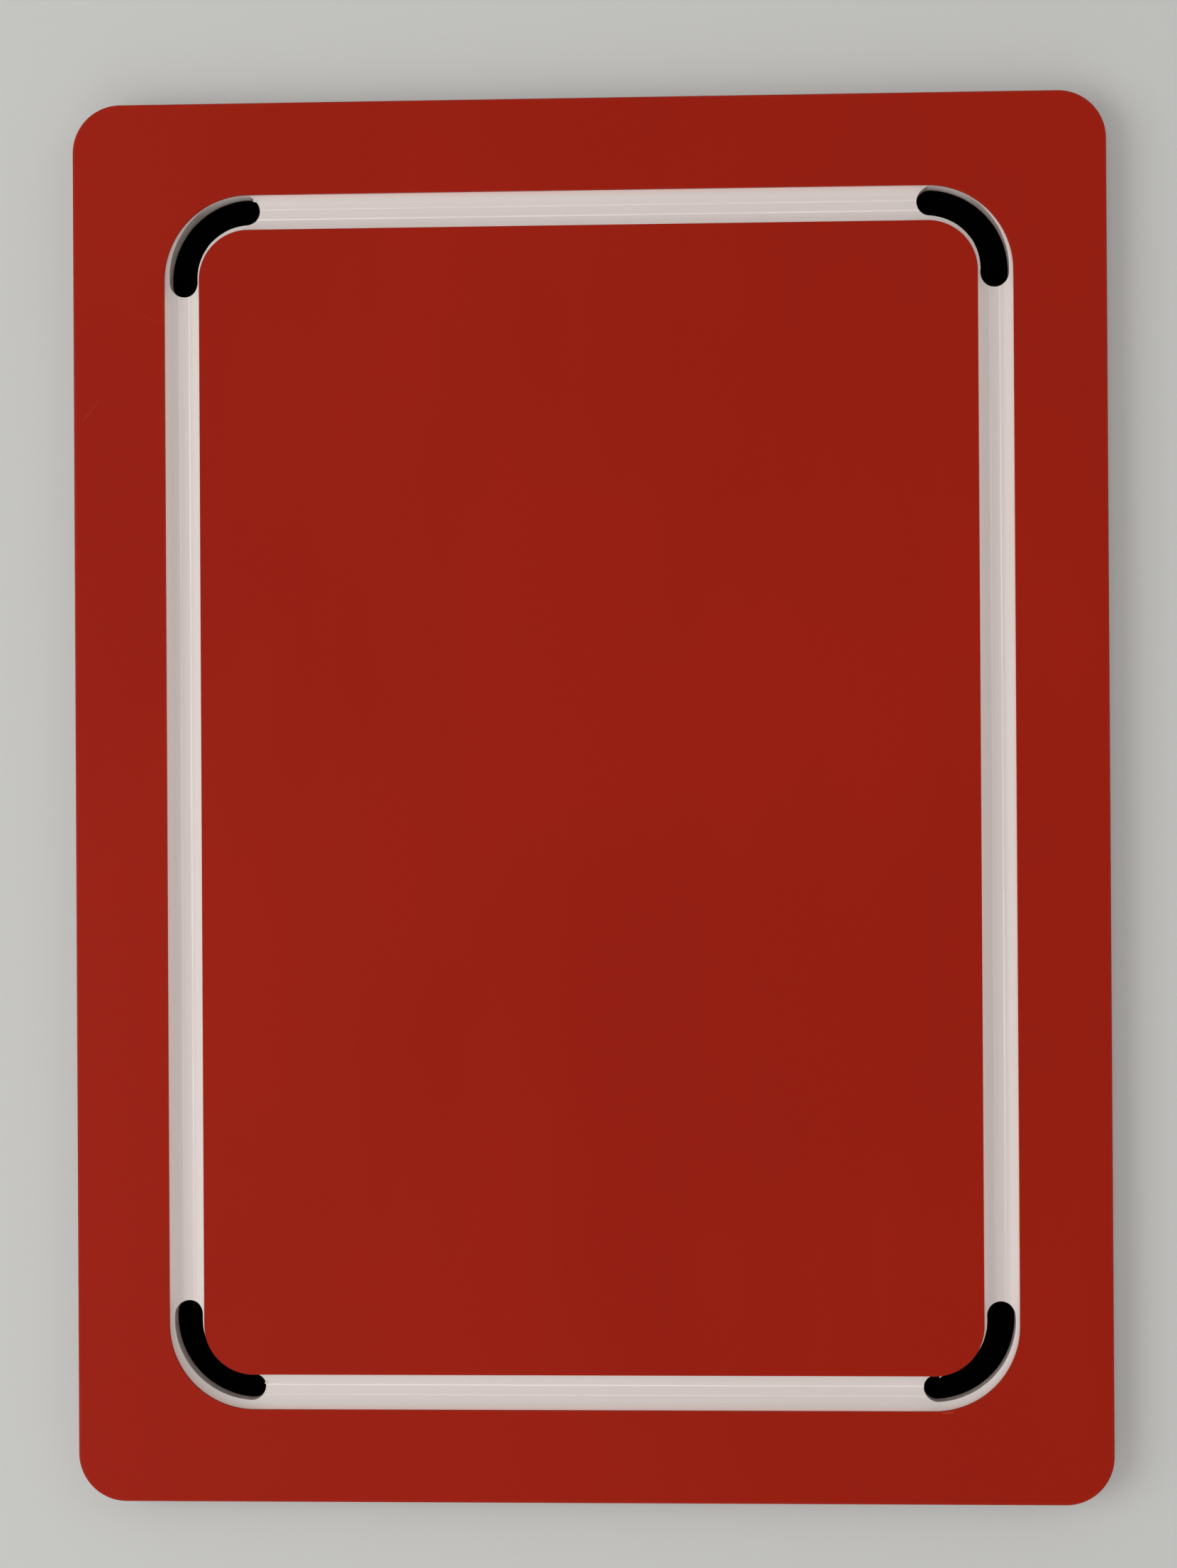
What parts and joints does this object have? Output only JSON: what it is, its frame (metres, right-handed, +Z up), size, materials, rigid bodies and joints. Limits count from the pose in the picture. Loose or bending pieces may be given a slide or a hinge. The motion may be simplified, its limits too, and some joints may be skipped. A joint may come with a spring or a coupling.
{
  "type": "cutting board",
  "caption": "Flat rectangular three-layer cutting board with rounded corners, a milled juice groove and a curved drain slot at each corner of the groove.",
  "frame": {"origin": "centre of the underside, on the surface that the board lies on", "axes": "+Z up through the thickness, +Y along the length towards the end that the slots are offset to, +X across the width"},
  "size_m": [0.28, 0.38, 0.01],
  "materials": {
    "red_skin": "fine satin texture",
    "white_core": "milled satin"
  },
  "bodies": {
    "root": {"top_rim_layer": "red_skin", "top_field_layer": "red_skin", "core": "white_core", "bottom_layer": "red_skin"}
  },
  "joints": []
}
